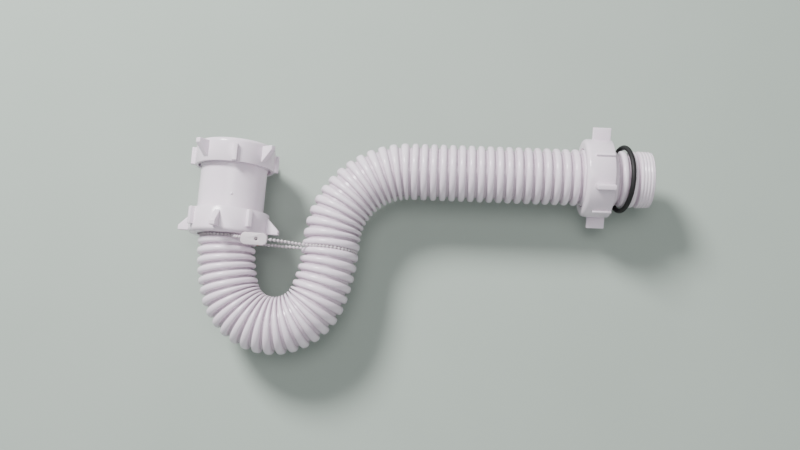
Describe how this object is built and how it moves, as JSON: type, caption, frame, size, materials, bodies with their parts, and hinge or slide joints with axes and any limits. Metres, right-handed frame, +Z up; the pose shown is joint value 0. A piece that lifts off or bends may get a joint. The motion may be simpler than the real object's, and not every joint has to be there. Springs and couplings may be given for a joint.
{
  "type": "flexible p-trap",
  "caption": "Flexible ribbed P-trap: a bellows pipe in a U and an elbow, with a slip coupling at the inlet and a loose winged nut and rubber ring at the outlet.",
  "frame": {"origin": "on the coupling's axis, at the face of the stop inside it that a tailpiece meets", "axes": "+Y along the coupling out of the inlet mouth, +Z up from the table that the trap lies on, the outlet run towards +X"},
  "size_m": [0.3144, 0.1655, 0.0684],
  "materials": {
    "coupling_plastic": "smooth moulded white plastic",
    "nut_plastic": "smooth moulded white plastic",
    "washer_plastic": "soft natural plastic",
    "pipe_plastic": "satin blown white plastic",
    "black_rubber": "smooth black rubber",
    "tie_plastic": "translucent plastic"
  },
  "bodies": {
    "trap": {"corrugated_pipe": "pipe_plastic", "bead_tie": "tie_plastic"},
    "coupling": {"coupling_body": "coupling_plastic"},
    "upper_washer": {"upper_washer": "washer_plastic"},
    "upper_nut": {"upper_slip_nut": "nut_plastic"},
    "lower_washer": {"lower_washer": "washer_plastic"},
    "lower_nut": {"lower_slip_nut": "nut_plastic"},
    "ring": {"outlet_o_ring": "black_rubber"},
    "outlet_nut": {"outlet_slip_nut": "nut_plastic"}
  },
  "joints": [
    {"name": "coupling_swivel", "type": "hinge", "parent": "trap", "child": "coupling", "pos_m": [0, 0, 0], "axis": [0, 1, 0], "continuous": true},
    {"name": "upper_washer_lift", "type": "slide", "parent": "coupling", "child": "upper_washer", "axis": [0, 1, 0], "range_m": [0, 0.0111]},
    {"name": "upper_nut_turn", "type": "hinge", "parent": "upper_washer", "child": "upper_nut", "pos_m": [0, 0.02, 0], "axis": [0, 1, 0], "range_deg": [0, 1800]},
    {"name": "lower_washer_drop", "type": "slide", "parent": "coupling", "child": "lower_washer", "axis": [0, -1, 0], "range_m": [0, 0.00055]},
    {"name": "lower_nut_turn", "type": "hinge", "parent": "lower_washer", "child": "lower_nut", "pos_m": [0, -0.02, 0], "axis": [0, -1, 0], "range_deg": [0, 90]},
    {"name": "ring_slide", "type": "slide", "parent": "trap", "child": "ring", "axis": [0.9994, 0.0349, 0], "range_m": [-0.1, 0.013]},
    {"name": "outlet_nut_spin", "type": "hinge", "parent": "ring", "child": "outlet_nut", "pos_m": [0.24402, 0.026, 0], "axis": [0.9994, 0.0349, 0], "continuous": true}
  ],
  "couplings": [
    {"joint": "upper_washer_lift", "follows": "upper_nut_turn", "m_per_rad": 0.00035},
    {"joint": "lower_washer_drop", "follows": "lower_nut_turn", "m_per_rad": 0.00035}
  ]
}
